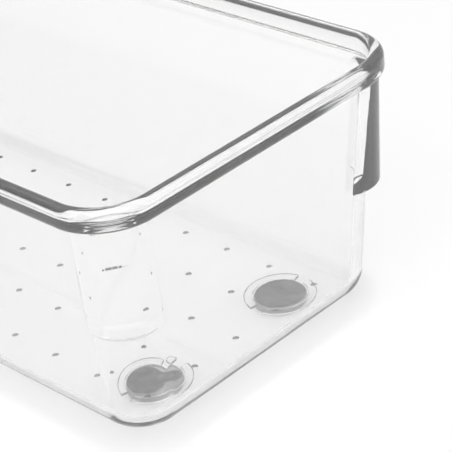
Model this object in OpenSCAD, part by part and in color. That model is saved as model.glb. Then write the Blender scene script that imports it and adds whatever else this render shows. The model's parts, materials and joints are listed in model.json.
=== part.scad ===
// Clear moulded tray with a dimpled floor, stacking lugs and four stick-on foot pads.
// Millimetres, +Z up, +X along the length towards the front end. The origin is at the
// bottom centre, on the face that the foot pads rest on.

/* [Tray] */
// Length over the rim
tray_length = 228.6; // [150:0.1:320]
// Width over the rim
tray_width = 76.2; // [62:0.1:120]
// Height of the moulding, without the foot pads
tray_height = 50.2; // [38:0.1:80]
// Thickness of the walls
wall = 2.2; // [1.6:0.1:2.8]
// Thickness of the floor
floor_t = 2.2; // [1.6:0.1:3.2]
// Outward lean of the walls, in degrees from upright
wall_draft = 4.7; // [1:0.1:6]
// Outer radius of the upright corners
corner_r = 8.8; // [7:0.1:12]
// Outer radius where the walls turn into the floor
bottom_r = 5.2; // [4:0.1:6.5]

/* [Rim] */
// Width of the rounded bead
bead_w = 2.84; // [2.4:0.01:3.6]
// Height of the rounded bead
bead_h = 4.55; // [4:0.05:6]
// Reach of the bead beyond the outside of the wall
bead_reach = 2.75; // [2.2:0.05:3.4]
// Height over which the wall sweeps out into the bead
flare_h = 4; // [3:0.1:4.5]

/* [Stacking lugs] */
// Height of the lug's ledge above the underside of the moulding
lug_ledge = 23.5; // [18:0.1:30]
// How far the ledge reaches over the inner edge of the rim of a tray below
lug_bite = 0.3; // [0.1:0.05:0.8]
// Shift of the lug's round face from the corner's own axis, on each axis
lug_shift = 3.3; // [2.8:0.1:3.8]
// Outward lean of the lug's face, in degrees from upright
lug_draft = 2.6; // [1:0.1:4]

/* [Floor dimples] */
// Diameter of a dimple at the floor's surface
dimple_d = 1.3; // [0.8:0.1:2.4]
// Depth of a dimple
dimple_depth = 0.35; // [0.2:0.05:0.8]
// Spacing of the dimples along the length
dimple_pitch_x = 11.6; // [9:0.1:16]
// Spacing of the dimples across the width
dimple_pitch_y = 10.9; // [9:0.1:16]
// Least distance from the outside of the base to the centre of a dimple
dimple_margin = 9; // [8:0.1:20]

/* [Feet] */
// Diameter of a foot pad
pad_d = 10.4; // [8:0.1:12.8]
// Thickness of a foot pad
pad_t = 1.6; // [1.2:0.1:3]
// Radius on the lower edge of a foot pad
pad_edge_r = 0.4; // [0.2:0.05:0.6]
// Distance of a pad's centre from the outside of the base, along the length
pad_from_end = 14.1; // [13:0.1:24]
// Distance of a pad's centre from the outside of the base, across the width
pad_from_side = 15.3; // [13:0.1:20]
// Gap between a pad and the collar round it
collar_gap = 0.15; // [0.1:0.05:0.5]
// Width of the collar
collar_w = 1.7; // [1.2:0.1:2.2]
// Height of the collar below the floor
collar_h = 0.5; // [0.3:0.1:1.2]
// Angle left open at each side of the collar
collar_open = 24; // [10:1:60]

/* [Adhesive] */
// Thickness of the adhesive on a foot pad
glue_t = 0.2; // [0.1:0.05:0.4]
// Width left bare round the edge of a pad
glue_inset = 0.3; // [0.2:0.05:0.8]
// How far the patch that has taken on the front left pad falls short of a whole film's width
patch_short = 1.6; // [0.8:0.1:1.9]
// Diameter of the small lobe beside that patch
lobe_d = 3; // [2:0.1:3.6]
// Direction of the lobe, in degrees from the length
lobe_turn = 52; // [0:1:360]

/* [Hidden] */
ENDS = ["front", "rear"];
SIDES = ["left", "right"];

clear_colour = [0.86, 0.88, 0.88, 0.35];
pad_colour = [0.62, 0.62, 0.62];
glue_colour = [0.45, 0.45, 0.45];
$fn = 96;
over = 1;
far = 2 * (tray_length + tray_width);
// The walls stand this far inside the base and the rim, which leaves a fine witness line
witness = 0.06;
// Facets in each upright corner, and in each arc of the flare
corner_steps = 24;
flare_steps = 6;

// Heights
base_z = pad_t + glue_t;
floor_z = base_z + floor_t;
turn_z = base_z + bottom_r;
top_z = base_z + tray_height;
ledge_z = base_z + lug_ledge;
bead_in = bead_reach - bead_w;
bead_mid = bead_reach - bead_w / 2;
bead_low_z = top_z - bead_h + bead_w / 2;
rim_z = top_z - bead_h - bead_mid;
flare_z = rim_z + flare_h;

// Half sizes of the outside, where the walls meet the base and at any height above
slope = tan(wall_draft);
turn_x = tray_length / 2 - bead_reach - slope * (rim_z - turn_z);
turn_y = tray_width / 2 - bead_reach - slope * (rim_z - turn_z);
function half_x(z) = turn_x + slope * (z - turn_z);
function half_y(z) = turn_y + slope * (z - turn_z);

// The wall's inner face sweeps out to the bead in two equal arcs
sweep = wall + bead_in;
sweep_r = (pow(flare_h, 2) + pow(sweep, 2)) / (4 * sweep);

// The ledge stands out far enough on the diagonal to catch the rim of a tray below
lug_reach = sqrt(2) * slope * (rim_z - ledge_z) + bead_in + lug_bite;
lug_r = corner_r + lug_reach - sqrt(2) * lug_shift;

// Feet
pad_x = turn_x - pad_from_end;
pad_y = turn_y - pad_from_side;
collar_r = pad_d / 2 + collar_gap;
glue_r = pad_d / 2 - glue_inset;
patch_r = glue_r - patch_short / 2;

// Sweeps an outline round the plan of the tray. The outline's own axis is the corner's.
module round_plan(x, y) {
    ax = x - corner_r;
    ay = y - corner_r;
    for (side = [[ax, ay, 0, ay], [-ax, ay, 90, ax], [-ax, -ay, 180, ay], [ax, -ay, 270, ax]])
        translate([side[0], side[1], 0])
            rotate([0, 0, side[2]]) {
                rotate_extrude(angle = 90)
                    children();
                rotate([90, 0, 0])
                    linear_extrude(height = 2 * side[3])
                        children();
            }
}

// A level slab inside the corner axes, which closes what round_plan sweeps
module slab(x, y, low, high) {
    translate([corner_r - x, corner_r - y, low])
        cube([2 * (x - corner_r), 2 * (y - corner_r), high - low]);
}

// A round bar through a point at one level, which leans out along a corner's diagonal
module leaning_bar(x, y, z, lean, r, low, high) {
    intersection() {
        translate([x, y, z])
            rotate([0, atan(sqrt(2) * lean), 45])
                cylinder(r = r, h = 3 * tray_height, center = true);
        translate([0, 0, low])
            cube([far, far, high - low]);
    }
}

module all_corners() {
    for (turn_x_side = [0, 1], turn_y_side = [0, 1])
        mirror([turn_x_side, 0, 0])
            mirror([0, turn_y_side, 0])
                children();
}

// Points round the plan at one level, set in by an inset. Every level has the same corner radius.
function plan_points(inset, z) = [
    for (corner = [[1, 1, 0], [-1, 1, 90], [-1, -1, 180], [1, -1, 270]], step = [0 : corner_steps])
        let (a = corner[2] + 90 * step / corner_steps)
        [corner[0] * (half_x(z) - corner_r) + (corner_r - inset) * cos(a),
         corner[1] * (half_y(z) - corner_r) + (corner_r - inset) * sin(a),
         z]
];

// Leaning walls whose corners keep one radius all the way up, so the corners lean too
module walls_block(inset, low, high) {
    n = 4 * (corner_steps + 1);
    polyhedron(
        points = concat(plan_points(inset, low), plan_points(inset, high)),
        faces = concat(
            [[for (i = [0 : n - 1]) i]],
            [[for (i = [0 : n - 1]) 2 * n - 1 - i]],
            [for (i = [0 : n - 1]) [i, i + n, (i + 1) % n + n, (i + 1) % n]]));
}

// Outline from the corner's axis out to an edge, with its lower corner rounded
module turned_outline(edge, low, high, r) {
    intersection() {
        translate([0, low])
            square([edge, high - low]);
        union() {
            translate([0, low])
                square([edge - r, far]);
            translate([0, low + r])
                square([edge, far]);
            translate([edge - r, low + r])
                circle(r = r);
        }
    }
}

// Outline of the rim's outside: wall, fillet under the bead, and bead
module rim_outline() {
    translate([0, rim_z])
        square([corner_r, bead_low_z - rim_z]);
    difference() {
        translate([0, rim_z])
            square([corner_r + bead_mid, bead_low_z - rim_z]);
        translate([corner_r + bead_mid, rim_z])
            circle(r = bead_mid);
    }
    translate([0, bead_low_z])
        square([corner_r + bead_reach, bead_h - bead_w]);
    translate([0, bead_low_z])
        square([corner_r + bead_mid, bead_h - bead_w / 2]);
    for (z = [bead_low_z, top_z - bead_w / 2])
        translate([corner_r + bead_mid, z])
            circle(d = bead_w);
}

// Outline of the hollow inside the rim: two arcs that sweep out, then the bead's side and top
module rim_hollow_outline() {
    half_turn = asin(flare_h / 2 / sweep_r);
    steps = [0 : flare_steps];
    low_arc = [for (i = steps) let (a = half_turn * i / flare_steps)
        [corner_r - wall + sweep_r * (1 - cos(a)), rim_z + sweep_r * sin(a)]];
    high_arc = [for (i = steps) let (a = half_turn * (1 - i / flare_steps))
        [corner_r + bead_in - sweep_r * (1 - cos(a)), flare_z - sweep_r * sin(a)]];
    polygon(concat([[0, rim_z]], low_arc, [for (i = [1 : flare_steps]) high_arc[i]], [[0, flare_z]]));
    difference() {
        translate([0, flare_z])
            square([corner_r + bead_mid, top_z + over - flare_z]);
        translate([corner_r + bead_in, flare_z - over])
            square([bead_w, top_z - bead_w / 2 - flare_z + over]);
        translate([corner_r + bead_mid, top_z - bead_w / 2])
            circle(d = bead_w);
    }
}

module outside() {
    round_plan(turn_x, turn_y)
        turned_outline(corner_r, base_z, turn_z, bottom_r);
    slab(turn_x, turn_y, base_z, turn_z);
    walls_block(witness, turn_z, rim_z);
    round_plan(half_x(rim_z), half_y(rim_z))
        rim_outline();
    slab(half_x(rim_z), half_y(rim_z), rim_z, top_z);
}

module inside() {
    round_plan(turn_x, turn_y)
        turned_outline(corner_r - wall, floor_z, turn_z, bottom_r - wall);
    slab(turn_x, turn_y, floor_z, turn_z);
    walls_block(wall + witness, turn_z, rim_z);
    round_plan(half_x(rim_z), half_y(rim_z))
        rim_hollow_outline();
    slab(half_x(rim_z), half_y(rim_z), rim_z, top_z + over);
}

// Four lugs that keep stacked trays apart
module lugs() {
    all_corners()
        leaning_bar(half_x(ledge_z) - corner_r + lug_shift, half_y(ledge_z) - corner_r + lug_shift,
                    ledge_z, tan(lug_draft), lug_r, ledge_z, bead_low_z);
}

// An open collar under the floor round each foot pad
module collars() {
    arc = 180 - collar_open;
    all_corners()
        translate([pad_x, pad_y, base_z - collar_h])
            for (turn = [90, 270])
                rotate([0, 0, turn + collar_open / 2])
                    rotate_extrude(angle = arc)
                        translate([collar_r, 0])
                            square([collar_w, collar_h + floor_t / 2]);
}

// A centred grid of shallow round dimples in the floor, as many as fit inside the margin
module dimples() {
    cols = floor(2 * (turn_x - dimple_margin) / dimple_pitch_x);
    rows = floor(2 * (turn_y - dimple_margin) / dimple_pitch_y);
    ball_r = (pow(dimple_d / 2, 2) + pow(dimple_depth, 2)) / (2 * dimple_depth);
    for (col = [0 : cols], row = [0 : rows])
        translate([(col - cols / 2) * dimple_pitch_x, (row - rows / 2) * dimple_pitch_y,
                   floor_z - dimple_depth + ball_r])
            sphere(r = ball_r);
}

module tray_shell() {
    color(clear_colour)
        difference() {
            union() {
                outside();
                lugs();
                collars();
            }
            inside();
            dimples();
        }
}

module at_foot(end, side) {
    translate([end == "front" ? pad_x : -pad_x, side == "right" ? pad_y : -pad_y, 0])
        children();
}

module foot_pad(end, side) {
    color(pad_colour)
        at_foot(end, side)
            rotate_extrude()
                turned_outline(pad_d / 2, 0, pad_t, pad_edge_r);
}

// The front left pad has only partly stuck, in a round patch with a small lobe
module adhesive(end, side) {
    color(glue_colour)
        at_foot(end, side)
            translate([0, 0, pad_t]) {
                if (end == "front" && side == "left") {
                    rotate([0, 0, lobe_turn]) {
                        translate([patch_r - glue_r, 0, 0])
                            cylinder(r = patch_r, h = glue_t);
                        translate([glue_r - lobe_d / 2, 0, 0])
                            cylinder(d = lobe_d, h = glue_t);
                    }
                } else {
                    cylinder(r = glue_r, h = glue_t);
                }
            }
}

tray_shell();
for (end = ENDS, side = SIDES) {
    foot_pad(end, side);
    adhesive(end, side);
}
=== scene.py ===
import bpy
import json
import math
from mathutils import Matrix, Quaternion, Vector

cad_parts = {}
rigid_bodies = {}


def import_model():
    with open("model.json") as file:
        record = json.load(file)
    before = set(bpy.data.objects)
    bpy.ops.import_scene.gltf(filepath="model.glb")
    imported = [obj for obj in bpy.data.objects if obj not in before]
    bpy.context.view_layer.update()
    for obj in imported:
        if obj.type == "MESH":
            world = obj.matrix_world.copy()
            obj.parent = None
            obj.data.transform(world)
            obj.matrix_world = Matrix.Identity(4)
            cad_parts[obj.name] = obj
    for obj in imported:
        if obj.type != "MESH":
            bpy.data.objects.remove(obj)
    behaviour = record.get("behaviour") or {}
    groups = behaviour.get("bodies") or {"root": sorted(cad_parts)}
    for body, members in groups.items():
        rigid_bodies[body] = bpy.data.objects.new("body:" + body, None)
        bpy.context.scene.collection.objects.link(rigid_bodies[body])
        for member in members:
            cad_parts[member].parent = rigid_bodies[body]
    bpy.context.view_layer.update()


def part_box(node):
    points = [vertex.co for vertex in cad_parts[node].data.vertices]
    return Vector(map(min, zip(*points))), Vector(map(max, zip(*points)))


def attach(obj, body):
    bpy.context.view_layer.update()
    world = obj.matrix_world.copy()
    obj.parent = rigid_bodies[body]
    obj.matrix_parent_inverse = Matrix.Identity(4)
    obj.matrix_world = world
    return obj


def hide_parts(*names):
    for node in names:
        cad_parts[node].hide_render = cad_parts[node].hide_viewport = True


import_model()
mm = 0.001
near = 0.001 * mm                       # anything closer than this is at the same place

# places taken from the frame
shellLow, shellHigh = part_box("tray_shell")
padLow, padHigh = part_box("foot_pad_front_right")
glueLow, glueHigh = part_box("adhesive_front_right")
baseZ = glueHigh.z                      # underside of the moulding
topZ = shellHigh.z                      # top of the rim
padX = (padLow.x + padHigh.x) / 2
padY = (padLow.y + padHigh.y) / 2

tray = {
    "wall": 2.2 * mm,
    "floor": 2.2 * mm,
    "draft": math.tan(math.radians(4.7)),
    "cornerR": 8.8 * mm,
    "bottomR": 5.2 * mm,
    "beadW": 2.84 * mm,
    "beadH": 4.55 * mm,
    "beadReach": 2.75 * mm,
    "flareH": 4.0 * mm,
    "support": 0.8 * mm,                # narrow strips that keep the long faces flat where they meet a curve
    "cornerSteps": 32,
    "footSteps": 12,                    # inner fillet at the foot of a wall
    "flareSteps": 8,
    "crownSteps": 20,                   # top half of the bead
    "lipSteps": 10,                     # lower outside quarter of the bead
    "neckSteps": 8,                     # where the bead turns back into the wall
    "bottomSteps": 16,                  # outer fillet round the bottom
}


# small helpers
def clearSelection():
    if bpy.context.mode != "OBJECT":
        bpy.ops.object.mode_set(mode="OBJECT")
    bpy.ops.object.select_all(action="DESELECT")


def activate(piece):
    clearSelection()
    piece.select_set(True)
    bpy.context.view_layer.objects.active = piece


def applyPlace(piece):
    activate(piece)
    bpy.ops.object.transform_apply(location=True, rotation=True, scale=True)


def pickVerts(piece, test):
    # leaves the piece in edit mode with only the vertices that pass the test selected
    activate(piece)
    bpy.ops.object.mode_set(mode="EDIT")
    bpy.ops.mesh.select_mode(type="VERT")
    bpy.ops.mesh.select_all(action="DESELECT")
    bpy.ops.object.mode_set(mode="OBJECT")
    for v in piece.data.vertices:
        v.select = test(v.co)
    bpy.ops.object.mode_set(mode="EDIT")


def bakeModifier(piece, kind, **settings):
    activate(piece)
    modifier = piece.modifiers.new(kind.title(), kind)
    for key, value in settings.items():
        setattr(modifier, key, value)
    bpy.ops.object.modifier_apply(modifier=modifier.name)


def cutOrJoin(piece, tool, operation):
    bakeModifier(piece, "BOOLEAN", object=tool, operation=operation, solver="EXACT")
    bpy.data.objects.remove(tool, do_unlink=True)


def polishShading(piece, angle=15):
    activate(piece)
    bpy.ops.object.shade_smooth_by_angle(angle=math.radians(angle), keep_sharp_edges=False)
    bakeModifier(piece, "WEIGHTED_NORMAL", mode="FACE_AREA", weight=80, keep_sharp=True)


# the moulding's section
def arc(centre, radius, start, end, steps):
    cx, cz = centre
    points = []
    for i in range(steps + 1):
        a = math.radians(start + (end - start) * i / steps)
        points.append((cx + radius * math.cos(a), cz + radius * math.sin(a)))
    return points


turnZ = baseZ + tray["bottomR"]
floorZ = baseZ + tray["floor"]
beadMid = tray["beadReach"] - tray["beadW"] / 2
beadIn = tray["beadReach"] - tray["beadW"]
beadR = tray["beadW"] / 2
beadLowZ = topZ - tray["beadH"] + beadR
rimZ = topZ - tray["beadH"] - beadMid
flareZ = rimZ + tray["flareH"]
lean = tray["draft"] * (rimZ - turnZ)   # how far the walls lean out by the time they reach the rim
axisX = shellHigh.x - tray["beadReach"] - lean - tray["cornerR"]
axisY = shellHigh.y - tray["beadReach"] - lean - tray["cornerR"]


def traySection():
    # from the floor's top, up the inside, over the bead and down the outside,
    # measured out from a corner's axis
    wall, r, s = tray["wall"], tray["cornerR"], tray["support"]
    innerR = tray["bottomR"] - wall
    sweep = wall + beadIn
    sweepR = (tray["flareH"] ** 2 + sweep ** 2) / (4 * sweep)
    half = math.degrees(math.asin(tray["flareH"] / 2 / sweepR))
    section = [(0, floorZ)]
    section += [(r - wall - innerR - s / 2, floorZ)]
    section += arc((r - wall - innerR, floorZ + innerR), innerR, -90, 0, tray["footSteps"])
    section += [(r - wall, turnZ + s), (r - wall, rimZ - s)]
    section += arc((r - wall + sweepR, rimZ), sweepR, 180, 180 - half, tray["flareSteps"])
    section += arc((r + beadIn - sweepR, flareZ), sweepR, -half, 0, tray["flareSteps"])[1:]
    section += arc((r + beadMid, topZ - beadR), beadR, 180, 0, tray["crownSteps"])
    section += arc((r + beadMid, beadLowZ), beadR, 0, -90, tray["lipSteps"])
    section += arc((r + beadMid, rimZ), beadMid, 90, 180, tray["neckSteps"])[1:]
    section += [(r, rimZ - s), (r, turnZ + s)]
    section += arc((r - tray["bottomR"], turnZ), tray["bottomR"], 0, -90, tray["bottomSteps"])
    section += [(r - tray["bottomR"] - s / 2, baseZ), (0, baseZ)]
    return section


def extrudeRun(dx, dy):
    strip = tray["support"] / math.hypot(dx, dy)
    for share in (strip, 1 - 2 * strip, strip):
        bpy.ops.mesh.extrude_region_move(TRANSFORM_OT_translate={"value": (dx * share, dy * share, 0)})


def leanOut(piece):
    # the corners lean with the walls and keep one radius, as a drafted mould's do
    for v in piece.data.vertices:
        rise = min(max(v.co.z, turnZ), rimZ) - turnZ
        v.co.x += math.copysign(tray["draft"] * rise, v.co.x)
        v.co.y += math.copysign(tray["draft"] * rise, v.co.y)


def makeTrayBody():
    section = traySection()
    mesh = bpy.data.meshes.new("trayBody")
    start = [(axisX + u, -axisY, z) for u, z in section]
    mesh.from_pydata(start, [(i, i + 1) for i in range(len(start) - 1)], [])
    body = bpy.data.objects.new("trayBody", mesh)
    bpy.context.scene.collection.objects.link(body)
    activate(body)
    bpy.ops.object.mode_set(mode="EDIT")
    bpy.ops.mesh.select_all(action="SELECT")
    sides = [((axisX, axisY), (0, 2 * axisY)), ((-axisX, axisY), (-2 * axisX, 0)),
             ((-axisX, -axisY), (0, -2 * axisY)), ((axisX, -axisY), (2 * axisX, 0))]
    for corner, run in sides:
        extrudeRun(*run)
        bpy.ops.mesh.spin(steps=tray["cornerSteps"], angle=math.radians(-90),
                          center=(corner[0], corner[1], 0), axis=(0, 0, 1))
    bpy.ops.mesh.select_all(action="SELECT")
    bpy.ops.mesh.remove_doubles(threshold=near)
    bpy.ops.object.mode_set(mode="OBJECT")
    # the swept section leaves the middle of the floor open, above and below
    for level in (floorZ, baseZ):
        pickVerts(body, lambda co: (abs(co.z - level) < near
                                    and abs(co.x) < axisX + near
                                    and abs(co.y) < axisY + near))
        bpy.ops.mesh.edge_face_add()
        bpy.ops.object.mode_set(mode="OBJECT")
    bpy.ops.object.mode_set(mode="EDIT")
    bpy.ops.mesh.select_all(action="SELECT")
    bpy.ops.mesh.normals_make_consistent(inside=False)
    bpy.ops.object.mode_set(mode="OBJECT")
    leanOut(body)
    return body


shell = makeTrayBody()
print("tray body:", len(shell.data.polygons), "faces")

# stacking lugs under the rim
lug = {
    "ledgeZ": baseZ + 23.5 * mm,
    "shift": 3.3 * mm,                  # the lug's centre from the corner's axis, on each axis
    "bite": 0.3 * mm,                   # overlap on the rim of a tray below
    "draft": math.tan(math.radians(2.6)),
    "over": 1.8 * mm,                   # how far its top runs up into the bead
    "edgeR": 0.5 * mm,
    "edgeSteps": 5,
    "sides": 128,
    "coreSteps": 24,
}


def makeWallCore():
    # a block whose sides run through the middle of the wall, to keep the lugs out of the hollow
    inset = tray["wall"] / 2
    bpy.ops.mesh.primitive_plane_add(size=1, location=(0, 0, turnZ))
    core = bpy.context.active_object
    core.scale = (2 * (axisX + tray["cornerR"] - inset), 2 * (axisY + tray["cornerR"] - inset), 1)
    applyPlace(core)
    bpy.ops.object.mode_set(mode="EDIT")
    bpy.ops.mesh.select_all(action="SELECT")
    bpy.ops.mesh.bevel(affect="VERTICES", offset=tray["cornerR"] - inset, segments=lug["coreSteps"])
    for height in (rimZ - turnZ, topZ - rimZ):
        bpy.ops.mesh.extrude_region_move(TRANSFORM_OT_translate={"value": (0, 0, height)})
    bpy.ops.mesh.select_all(action="SELECT")
    bpy.ops.mesh.normals_make_consistent(inside=False)
    bpy.ops.object.mode_set(mode="OBJECT")
    leanOut(core)
    return core


def makeLug(sx, sy):
    ledgeLean = tray["draft"] * (lug["ledgeZ"] - turnZ)
    reach = math.sqrt(2) * (lean - ledgeLean) + beadIn + lug["bite"]
    radius = tray["cornerR"] + reach - math.sqrt(2) * lug["shift"]
    lowX = axisX + ledgeLean + lug["shift"]
    lowY = axisY + ledgeLean + lug["shift"]
    height = rimZ + lug["over"] - lug["ledgeZ"]
    bpy.ops.mesh.primitive_cylinder_add(
        vertices=lug["sides"], radius=radius, depth=height,
        location=(sx * lowX, sy * lowY, lug["ledgeZ"] + height / 2))
    piece = bpy.context.active_object
    applyPlace(piece)
    pickVerts(piece, lambda co: co.z > lug["ledgeZ"] + height / 2)
    bpy.ops.transform.translate(value=(sx * lug["draft"] * height, sy * lug["draft"] * height, 0))
    bpy.ops.mesh.select_all(action="DESELECT")
    bpy.ops.object.mode_set(mode="OBJECT")
    pickVerts(piece, lambda co: co.z < lug["ledgeZ"] + height / 2)
    bpy.ops.mesh.bevel(affect="EDGES", offset=lug["edgeR"], segments=lug["edgeSteps"], profile=0.5)
    bpy.ops.object.mode_set(mode="OBJECT")
    return piece


corners = [(sx, sy) for sx in (1, -1) for sy in (1, -1)]
core = makeWallCore()
for sx, sy in corners:
    newLug = makeLug(sx, sy)
    bakeModifier(newLug, "BOOLEAN", object=core, operation="DIFFERENCE", solver="EXACT")
    cutOrJoin(shell, newLug, "UNION")
bpy.data.objects.remove(core, do_unlink=True)
print("lugs joined:", len(shell.data.polygons), "faces")

# collars round the foot pads
collar = {
    "gap": 0.15 * mm,
    "width": 1.7 * mm,
    "height": baseZ - shellLow.z,
    "open": 24,                         # degrees left open at each side
    "edgeR": 0.25 * mm,
    "edgeSteps": 3,
    "turnSteps": 44,
}


def makeCollarHalf(x, y, startAngle):
    inner = (padHigh.x - padLow.x) / 2 + collar["gap"]
    low = baseZ - collar["height"]
    sunk = tray["floor"] / 2
    bpy.ops.mesh.primitive_plane_add(size=1, location=(0, 0, 0), rotation=(math.radians(90), 0, 0))
    piece = bpy.context.active_object
    piece.scale = (collar["width"], collar["height"] + sunk, 1)
    piece.location = (x + inner + collar["width"] / 2, y, low + (collar["height"] + sunk) / 2)
    applyPlace(piece)
    pickVerts(piece, lambda co: co.z < baseZ)
    bpy.ops.mesh.bevel(affect="VERTICES", offset=collar["edgeR"], segments=collar["edgeSteps"])
    bpy.ops.mesh.select_all(action="SELECT")
    bpy.ops.mesh.spin(steps=collar["turnSteps"], angle=math.radians(-(180 - collar["open"])),
                      center=(x, y, 0), axis=(0, 0, 1))
    bpy.ops.mesh.select_all(action="SELECT")
    bpy.ops.mesh.normals_make_consistent(inside=False)
    bpy.ops.transform.rotate(value=-math.radians(startAngle), orient_axis="Z", center_override=(x, y, 0))
    bpy.ops.object.mode_set(mode="OBJECT")
    return piece


for sx, sy in corners:
    for side in (90, 270):
        cutOrJoin(shell, makeCollarHalf(sx * padX, sy * padY, side + collar["open"] / 2), "UNION")
print("collars joined:", len(shell.data.polygons), "faces")

# shallow dimples in the floor
dimple = {
    "r": 0.65 * mm,
    "depth": 0.35 * mm,
    "pitchX": 11.6 * mm,
    "pitchY": 10.9 * mm,
    "margin": 9 * mm,
    "cutAbove": 0.25 * mm,              # how far the cutter stands clear of the floor
    "sides": 32,
}


def makeDimpleCutter():
    # the lower cap of a ball, closed by a lid just above the floor
    ballR = (dimple["r"] ** 2 + dimple["depth"] ** 2) / (2 * dimple["depth"])
    bpy.ops.mesh.primitive_uv_sphere_add(segments=dimple["sides"], ring_count=dimple["sides"], radius=ballR,
                                         location=(0, 0, floorZ - dimple["depth"] + ballR))
    cap = bpy.context.active_object
    applyPlace(cap)
    bpy.ops.object.mode_set(mode="EDIT")
    bpy.ops.mesh.select_all(action="SELECT")
    bpy.ops.mesh.bisect(plane_co=(0, 0, floorZ + dimple["cutAbove"]), plane_no=(0, 0, 1),
                        use_fill=True, clear_outer=True)
    bpy.ops.object.mode_set(mode="OBJECT")
    return cap


dimpleCols = math.floor(2 * (axisX + tray["cornerR"] - dimple["margin"]) / dimple["pitchX"])
dimpleRows = math.floor(2 * (axisY + tray["cornerR"] - dimple["margin"]) / dimple["pitchY"])
cutter = makeDimpleCutter()
for count, pitch, axis in ((dimpleCols, dimple["pitchX"], 0), (dimpleRows, dimple["pitchY"], 1)):
    step = [0, 0, 0]
    step[axis] = pitch
    bakeModifier(cutter, "ARRAY", count=count + 1, use_relative_offset=False,
                 use_constant_offset=True, constant_offset_displace=step)
cutter.location = (-dimpleCols / 2 * dimple["pitchX"], -dimpleRows / 2 * dimple["pitchY"], 0)
applyPlace(cutter)
cutOrJoin(shell, cutter, "DIFFERENCE")
polishShading(shell)
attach(shell, "root")
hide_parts("tray_shell")
print("dimples cut:", len(shell.data.polygons), "faces")

# foot pads
pad = {
    "lowEdgeR": 0.4 * mm,
    "topEdgeR": 0.15 * mm,
    "dishInset": 0.9 * mm,
    "dishDepth": 0.12 * mm,             # the underside is slightly hollow inside its bearing ring
    "pickSlack": 0.05 * mm,             # how far inside the flat's edge its vertices are looked for
    "edgeSteps": 5,
    "sides": 96,
}


def makePad(name, x, y):
    radius = (padHigh.x - padLow.x) / 2
    height = padHigh.z - padLow.z
    bpy.ops.mesh.primitive_cylinder_add(vertices=pad["sides"], radius=radius, depth=height,
                                        location=(x, y, padLow.z + height / 2))
    piece = bpy.context.active_object
    piece.name = name
    applyPlace(piece)
    for top, ease in ((False, pad["lowEdgeR"]), (True, pad["topEdgeR"])):
        pickVerts(piece, lambda co: (co.z > padLow.z + height / 2) == top)
        bpy.ops.mesh.bevel(affect="EDGES", offset=ease, segments=pad["edgeSteps"], profile=0.5)
        bpy.ops.object.mode_set(mode="OBJECT")
    flat = radius - pad["lowEdgeR"] - pad["pickSlack"]
    pickVerts(piece, lambda co: co.z < padLow.z + near and math.hypot(co.x - x, co.y - y) > flat)
    bpy.ops.mesh.inset(thickness=pad["dishInset"])
    bpy.ops.mesh.inset(thickness=pad["dishInset"] / 2)
    bpy.ops.transform.translate(value=(0, 0, pad["dishDepth"]))
    bpy.ops.object.mode_set(mode="OBJECT")
    polishShading(piece, angle=30)
    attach(piece, "root")
    return piece


# adhesive film on the pads
glue = {
    "sink": 0.02 * mm,                  # wetted into the floor, so no air is left between them
    "edgeR": 0.01 * mm,
    "edgeSteps": 2,
    "sides": 96,
    "patchShort": 1.6 * mm,             # how far the taken patch falls short of a whole film's width
    "lobeR": 1.5 * mm,
    "lobeTurn": math.radians(52),
}


def makeFilm(name, x, y, radius):
    height = glueHigh.z - glueLow.z + glue["sink"]
    bpy.ops.mesh.primitive_cylinder_add(vertices=glue["sides"], radius=radius, depth=height,
                                        location=(x, y, glueLow.z + height / 2))
    piece = bpy.context.active_object
    piece.name = name
    applyPlace(piece)
    pickVerts(piece, lambda co: co.z > glueLow.z + height / 2)
    bpy.ops.mesh.bevel(affect="EDGES", offset=glue["edgeR"], segments=glue["edgeSteps"], profile=0.5)
    bpy.ops.object.mode_set(mode="OBJECT")
    return piece


ends = {"front": 1, "rear": -1}
sides = {"left": -1, "right": 1}
filmR = (glueHigh.x - glueLow.x) / 2
pads = []
films = []
for end, sx in ends.items():
    for side, sy in sides.items():
        newPad = makePad("footPad_" + end + "_" + side, sx * padX, sy * padY)
        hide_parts("foot_pad_" + end + "_" + side)
        pads.append(newPad)
        filmName = "adhesiveFilm_" + end + "_" + side
        if (end, side) == ("front", "left"):
            # this film has taken only in a round patch with a small lobe beside it
            towards = Vector((math.cos(glue["lobeTurn"]), math.sin(glue["lobeTurn"])))
            patchR = filmR - glue["patchShort"] / 2
            patchAt = Vector((padX, -padY)) + towards * (patchR - filmR)
            lobeAt = Vector((padX, -padY)) + towards * (filmR - glue["lobeR"])
            film = makeFilm(filmName, patchAt.x, patchAt.y, patchR)
            cutOrJoin(film, makeFilm("lobe", lobeAt.x, lobeAt.y, glue["lobeR"]), "UNION")
        else:
            film = makeFilm(filmName, sx * padX, sy * padY, filmR)
        polishShading(film, angle=30)
        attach(film, "root")
        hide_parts("adhesive_" + end + "_" + side)
        films.append(film)
print("pads and films made:", len(pads), len(films))


# materials
def newMaterial(name):
    material = bpy.data.materials.new(name)
    material.use_nodes = True
    tree = material.node_tree
    shader = tree.nodes["Principled BSDF"]
    coords = tree.nodes.new("ShaderNodeTexCoord")
    return material, tree, shader, coords


def addNoise(tree, coords, scale, detail=4, stretch=(1, 1, 1)):
    mapping = tree.nodes.new("ShaderNodeMapping")
    mapping.inputs["Scale"].default_value = stretch
    noise = tree.nodes.new("ShaderNodeTexNoise")
    noise.inputs["Scale"].default_value = scale
    noise.inputs["Detail"].default_value = detail
    tree.links.new(coords.outputs["Object"], mapping.inputs["Vector"])
    tree.links.new(mapping.outputs["Vector"], noise.inputs["Vector"])
    return noise


def addRange(tree, source, low, high, fromLow=0.3, fromHigh=0.7):
    spread = tree.nodes.new("ShaderNodeMapRange")
    spread.inputs["From Min"].default_value = fromLow
    spread.inputs["From Max"].default_value = fromHigh
    spread.inputs["To Min"].default_value = low
    spread.inputs["To Max"].default_value = high
    tree.links.new(source, spread.inputs["Value"])
    return spread.outputs["Result"]


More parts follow.
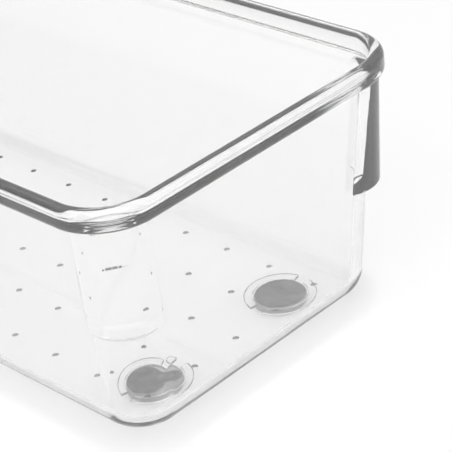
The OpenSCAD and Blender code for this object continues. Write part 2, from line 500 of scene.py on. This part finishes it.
def addBump(tree, source, shader, strength, distance):
    bump = tree.nodes.new("ShaderNodeBump")
    bump.inputs["Strength"].default_value = strength
    bump.inputs["Distance"].default_value = distance
    tree.links.new(source, bump.inputs["Height"])
    tree.links.new(bump.outputs["Normal"], shader.inputs["Normal"])


def clearStyrene():
    # water-clear moulding, with faint flow waves and a trace of haze
    material, tree, shader, coords = newMaterial("clearStyrene")
    shader.inputs["Base Color"].default_value = (0.995, 0.995, 0.995, 1)
    shader.inputs["Transmission Weight"].default_value = 0.95
    shader.inputs["IOR"].default_value = 1.57
    haze = addNoise(tree, coords, scale=90, detail=6)
    tree.links.new(addRange(tree, haze.outputs["Fac"], low=0.0, high=0.035), shader.inputs["Roughness"])
    flow = addNoise(tree, coords, scale=28, detail=2, stretch=(0.35, 1, 1))
    addBump(tree, flow.outputs["Fac"], shader, strength=0.04, distance=0.3 * mm)
    return material


def padRubber():
    # soft translucent grey, finely grained
    material, tree, shader, coords = newMaterial("padRubber")
    grain = addNoise(tree, coords, scale=900, detail=5)
    shade = tree.nodes.new("ShaderNodeMix")
    shade.data_type = "RGBA"
    shade.inputs["A"].default_value = (0.66, 0.66, 0.66, 1)
    shade.inputs["B"].default_value = (0.82, 0.82, 0.82, 1)
    tree.links.new(addRange(tree, grain.outputs["Fac"], low=0, high=1), shade.inputs["Factor"])
    tree.links.new(shade.outputs["Result"], shader.inputs["Base Color"])
    shader.inputs["Transmission Weight"].default_value = 0.85
    shader.inputs["IOR"].default_value = 1.43
    shader.inputs["Roughness"].default_value = 0.12
    addBump(tree, grain.outputs["Fac"], shader, strength=0.15, distance=0.03 * mm)
    return material


def adhesiveFilm():
    # dark film, flecked and clouded where it has taken unevenly
    material, tree, shader, coords = newMaterial("adhesiveFilm")
    fleck = addNoise(tree, coords, scale=2600, detail=3)
    cloud = addNoise(tree, coords, scale=420, detail=3)
    both = tree.nodes.new("ShaderNodeMath")
    both.operation = "MULTIPLY_ADD"
    both.inputs[1].default_value = 0.6
    tree.links.new(fleck.outputs["Fac"], both.inputs[0])
    tree.links.new(addRange(tree, cloud.outputs["Fac"], low=0.0, high=0.4), both.inputs[2])
    shade = tree.nodes.new("ShaderNodeMix")
    shade.data_type = "RGBA"
    shade.inputs["A"].default_value = (0.006, 0.006, 0.006, 1)
    shade.inputs["B"].default_value = (0.17, 0.17, 0.17, 1)
    mottle = addRange(tree, both.outputs["Value"], low=0, high=1, fromLow=0.3, fromHigh=0.75)
    tree.links.new(mottle, shade.inputs["Factor"])
    tree.links.new(shade.outputs["Result"], shader.inputs["Base Color"])
    shader.inputs["Roughness"].default_value = 0.5
    addBump(tree, fleck.outputs["Fac"], shader, strength=0.3, distance=0.03 * mm)
    return material


def studioPaper():
    material, tree, shader, coords = newMaterial("studioPaper")
    shader.inputs["Base Color"].default_value = (0.9, 0.9, 0.9, 1)
    shader.inputs["Roughness"].default_value = 0.9
    return material


def dress(pieces, material):
    for piece in pieces:
        piece.data.materials.clear()
        piece.data.materials.append(material)


dress([shell], clearStyrene())
dress(pads, padRubber())
dress(films, adhesiveFilm())
print("materials set")

# floor, light and camera
studio = {
    "floorSize": 6,
    "sky": 0.75,
    "panels": [
        # place, size, power, aimed at the tray
        ((0.0, 0.0, 1.5), 3.0, 10.8),
        ((0.5, -0.4, 0.75), 0.9, 2.4),
    ],
    "lightBounces": 48,                 # light runs on for many turns inside clear walls
    "clearBounces": 16,
}
clearSelection()
bpy.ops.mesh.primitive_plane_add(size=studio["floorSize"], location=(0, 0, 0))
paper = bpy.context.active_object
paper.name = "studioFloor"
dress([paper], studioPaper())

world = bpy.data.worlds.new("studio")
bpy.context.scene.world = world
world.use_nodes = True
world.node_tree.nodes["Background"].inputs["Color"].default_value = (1, 1, 1, 1)
world.node_tree.nodes["Background"].inputs["Strength"].default_value = studio["sky"]
for place, size, power in studio["panels"]:
    panelData = bpy.data.lights.new("softPanel", "AREA")
    panelData.shape = "SQUARE"
    panelData.size = size
    panelData.energy = power
    panel = bpy.data.objects.new("softPanel", panelData)
    bpy.context.scene.collection.objects.link(panel)
    panel.location = place
    panel.rotation_mode = "QUATERNION"
    panel.rotation_quaternion = (-Vector(place)).to_track_quat("-Z", "Y")

shot = {
    "azimuth": math.radians(47.74),
    "elevation": math.radians(30.44),
    "roll": math.radians(-7.66),
    "distance": 0.345,
    "aim": Vector((0.09171, 0.00869, 0.02101)),
    "lens": 148,
    "clipStart": 0.01,
}
back = Vector((math.sin(shot["azimuth"]) * math.cos(shot["elevation"]),
               -math.cos(shot["azimuth"]) * math.cos(shot["elevation"]),
               math.sin(shot["elevation"])))
cameraData = bpy.data.cameras.new("camera")
cameraData.lens = shot["lens"]
cameraData.clip_start = shot["clipStart"]
camera = bpy.data.objects.new("camera", cameraData)
bpy.context.scene.collection.objects.link(camera)
camera.rotation_mode = "QUATERNION"
camera.location = shot["aim"] + back * shot["distance"]
camera.rotation_quaternion = (-back).to_track_quat("-Z", "Y") @ Quaternion((0, 0, 1), shot["roll"])
bpy.context.scene.camera = camera
scene = bpy.context.scene
scene.view_settings.view_transform = "Standard"
scene.cycles.blur_glossy = 0            # keeps the floor seen through the tray as bright as it is
scene.cycles.max_bounces = studio["lightBounces"]
scene.cycles.transmission_bounces = studio["lightBounces"]
scene.cycles.transparent_max_bounces = studio["clearBounces"]
